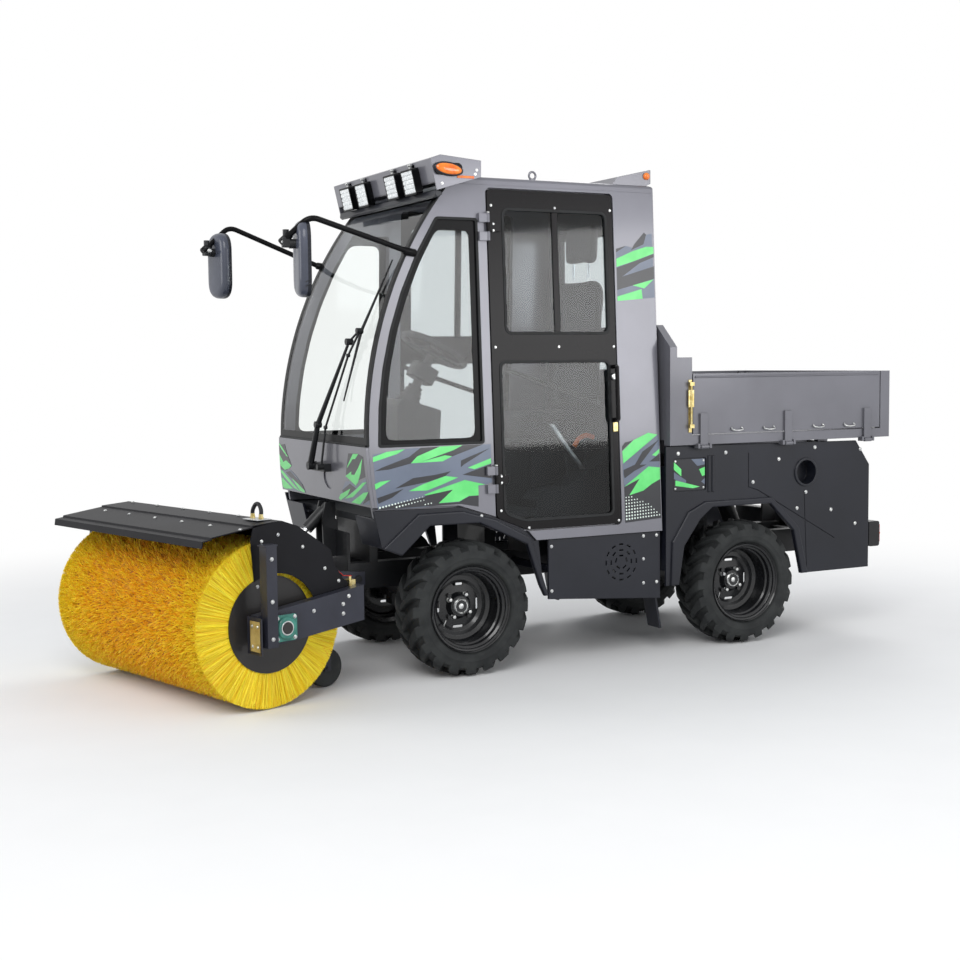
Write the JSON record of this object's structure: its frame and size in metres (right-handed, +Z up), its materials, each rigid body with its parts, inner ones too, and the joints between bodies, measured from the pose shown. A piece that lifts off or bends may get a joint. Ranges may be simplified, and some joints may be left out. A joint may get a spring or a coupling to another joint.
{
  "type": "compact road sweeper",
  "caption": "Small cab-forward utility vehicle with glazed doors, a tipping drop-side bed and a yawed cylinder sweeping brush under a hood on a front lift arm.",
  "frame": {"origin": "on the ground, at the middle of the whole machine's length and width, with the yawed brush and the mirrors; the vehicle's own centre line is 91 mm to the right of it", "axes": "+X forward, +Y to the vehicle's left, +Z up"},
  "size_m": [4.067, 1.5174, 2.2985],
  "materials": {
    "body_paint": "satin metallic",
    "frame_paint": "satin",
    "door_paint": "satin",
    "arm_paint": "satin",
    "black_plastic": "grained",
    "interior_plastic": "grained",
    "window_glass": "clear, slightly green",
    "tyre_rubber": "matte",
    "wheel_paint": "gloss",
    "seat_vinyl": "grained vinyl",
    "bristle": "matte",
    "roller_steel": "satin",
    "bed_paint": "satin metallic",
    "lamp_plastic": "clear over bright",
    "tail_plastic": "gloss",
    "engine_paint": "satin",
    "rod_chrome": "polished",
    "gauge_rubber": "matte"
  },
  "bodies": {
    "chassis": {"cab_side_left": "body_paint", "cab_side_right": "body_paint", "cab_roof": "body_paint", "cab_rear_wall": "body_paint", "cab_floor": "frame_paint", "front_panel": "body_paint", "windscreen": "window_glass", "cab_windows": "window_glass", "light_bar": "body_paint", "work_lamps": "lamp_plastic", "rear_visor": "body_paint", "front_fender_left": "body_paint", "front_fender_right": "body_paint", "side_skirts": "black_plastic", "rear_body_left": "body_paint", "rear_body_right": "body_paint", "frame": "frame_paint", "engine": "engine_paint", "front_axle": "frame_paint", "rear_axle": "frame_paint", "seat_base": "black_plastic", "seat_cushion": "seat_vinyl", "seat_backrest": "seat_vinyl", "console": "interior_plastic", "mirrors": "black_plastic", "wiper": "black_plastic", "rear_bumper": "frame_paint", "tail_lamps": "tail_plastic"},
    "knuckle_left": {"knuckle_left": "frame_paint"},
    "knuckle_right": {"knuckle_right": "frame_paint"},
    "steering_wheel": {"steering_wheel": "interior_plastic"},
    "door_left": {"door_left": "door_paint", "door_glass_left": "window_glass"},
    "door_right": {"door_right": "door_paint", "door_glass_right": "window_glass"},
    "bed": {"bed": "bed_paint"},
    "gate_left": {"gate_left": "bed_paint"},
    "gate_right": {"gate_right": "bed_paint"},
    "tailgate": {"tailgate": "bed_paint"},
    "hoist_barrel": {"hoist_barrel": "frame_paint"},
    "hoist_rod": {"hoist_rod": "rod_chrome"},
    "lift_arm": {"lift_arm": "arm_paint"},
    "lift_barrel": {"lift_barrel": "arm_paint"},
    "lift_rod": {"lift_rod": "rod_chrome"},
    "brush_unit": {"brush_frame": "arm_paint", "brush_hood": "arm_paint"},
    "brush_roller": {"brush_roller": "roller_steel", "brush_bristles": "bristle"},
    "gauge_wheel_left": {"gauge_wheel_left": "gauge_rubber"},
    "gauge_wheel_right": {"gauge_wheel_right": "gauge_rubber"},
    "wheel_front_left": {"rim_front_left": "wheel_paint", "tyre_front_left": "tyre_rubber"},
    "wheel_front_right": {"rim_front_right": "wheel_paint", "tyre_front_right": "tyre_rubber"},
    "wheel_rear_left": {"rim_rear_left": "wheel_paint", "tyre_rear_left": "tyre_rubber"},
    "wheel_rear_right": {"rim_rear_right": "wheel_paint", "tyre_rear_right": "tyre_rubber"}
  },
  "joints": [
    {"name": "steer_left", "type": "hinge", "parent": "chassis", "child": "knuckle_left", "pos_m": [0.38437, 0.24336, 0.305], "axis": [0, 0, 1], "range_deg": [-25, 25]},
    {"name": "steer_right", "type": "hinge", "parent": "chassis", "child": "knuckle_right", "pos_m": [0.38437, -0.42664, 0.305], "axis": [0, 0, 1], "range_deg": [-25.5, 25.5]},
    {"name": "steering_wheel_turn", "type": "hinge", "parent": "chassis", "child": "steering_wheel", "pos_m": [0.28837, -0.09164, 1.464], "axis": [-0.4983, 0, 0.867], "range_deg": [-455, 455]},
    {"name": "spin_front_left", "type": "hinge", "parent": "knuckle_left", "child": "wheel_front_left", "pos_m": [0.38437, 0.36336, 0.305], "axis": [0, 1, 0], "continuous": true},
    {"name": "spin_front_right", "type": "hinge", "parent": "knuckle_right", "child": "wheel_front_right", "pos_m": [0.38437, -0.54664, 0.305], "axis": [0, 1, 0], "continuous": true},
    {"name": "spin_rear_left", "type": "hinge", "parent": "chassis", "child": "wheel_rear_left", "pos_m": [-1.13963, 0.36336, 0.305], "axis": [0, 1, 0], "continuous": true},
    {"name": "spin_rear_right", "type": "hinge", "parent": "chassis", "child": "wheel_rear_right", "pos_m": [-1.13963, -0.54664, 0.305], "axis": [0, 1, 0], "continuous": true},
    {"name": "door_left_open", "type": "hinge", "parent": "chassis", "child": "door_left", "pos_m": [0.25937, 0.44682, 1.44064], "axis": [0, 0.0491, -0.9988], "range_deg": [0, 75]},
    {"name": "door_right_open", "type": "hinge", "parent": "chassis", "child": "door_right", "pos_m": [0.25937, -0.63009, 1.44064], "axis": [0, 0.0491, 0.9988], "range_deg": [0, 75]},
    {"name": "bed_tip", "type": "hinge", "parent": "chassis", "child": "bed", "pos_m": [-1.91563, -0.09164, 0.95], "axis": [0, -1, 0], "range_deg": [0, 45]},
    {"name": "hoist_swing", "type": "hinge", "parent": "chassis", "child": "hoist_barrel", "pos_m": [-1.51563, -0.09164, 0.44], "axis": [0, -1, 0], "range_deg": [-0.5, 23.2]},
    {"name": "hoist_extend", "type": "slide", "parent": "hoist_barrel", "child": "hoist_rod", "axis": [0.4169, 0, 0.9089], "range_m": [-0.002, 0.3974]},
    {"name": "gate_left_drop", "type": "hinge", "parent": "bed", "child": "gate_left", "pos_m": [-1.33413, 0.52036, 0.99], "axis": [-1, 0, 0], "range_deg": [0, 170]},
    {"name": "gate_right_drop", "type": "hinge", "parent": "bed", "child": "gate_right", "pos_m": [-1.33413, -0.70364, 0.99], "axis": [1, 0, 0], "range_deg": [0, 170]},
    {"name": "tailgate_drop", "type": "hinge", "parent": "bed", "child": "tailgate", "pos_m": [-2.02963, -0.09164, 1.024], "axis": [0, -1, 0], "range_deg": [0, 90]},
    {"name": "brush_lift", "type": "hinge", "parent": "chassis", "child": "lift_arm", "pos_m": [0.78437, -0.09164, 0.43], "axis": [0, -1, 0], "range_deg": [0, 9]},
    {"name": "lift_swing", "type": "hinge", "parent": "chassis", "child": "lift_barrel", "pos_m": [0.84937, -0.09164, 0.745], "axis": [0, -1, 0], "range_deg": [-0.3, 1.36]},
    {"name": "lift_retract", "type": "slide", "parent": "lift_barrel", "child": "lift_rod", "axis": [0.7258, 0, -0.6879], "range_m": [-0.0442, 0.001]},
    {"name": "brush_yaw", "type": "hinge", "parent": "lift_arm", "child": "brush_unit", "pos_m": [1.07837, -0.09164, 0.43], "axis": [0, 0, 1], "range_deg": [-40, 10]},
    {"name": "brush_spin", "type": "hinge", "parent": "brush_unit", "child": "brush_roller", "pos_m": [1.52269, 0.02742, 0.352], "axis": [-0.2588, 0.9659, 0], "continuous": true},
    {"name": "gauge_left_spin", "type": "hinge", "parent": "brush_unit", "child": "gauge_wheel_left", "pos_m": [1.03279, 0.31026, 0.087], "axis": [-0.2588, 0.9659, 0], "continuous": true},
    {"name": "gauge_right_spin", "type": "hinge", "parent": "brush_unit", "child": "gauge_wheel_right", "pos_m": [1.23985, -0.46248, 0.087], "axis": [-0.2588, 0.9659, 0], "continuous": true}
  ],
  "couplings": [
    {"joint": "steer_right", "follows": "steer_left", "ratio": 1},
    {"joint": "steering_wheel_turn", "follows": "steer_left", "ratio": 18},
    {"joint": "hoist_swing", "follows": "bed_tip", "ratio": 0.50296},
    {"joint": "hoist_extend", "follows": "bed_tip", "m_per_rad": 0.50341},
    {"joint": "lift_swing", "follows": "brush_lift", "ratio": 0.11757},
    {"joint": "lift_retract", "follows": "brush_lift", "m_per_rad": -0.27528}
  ]
}
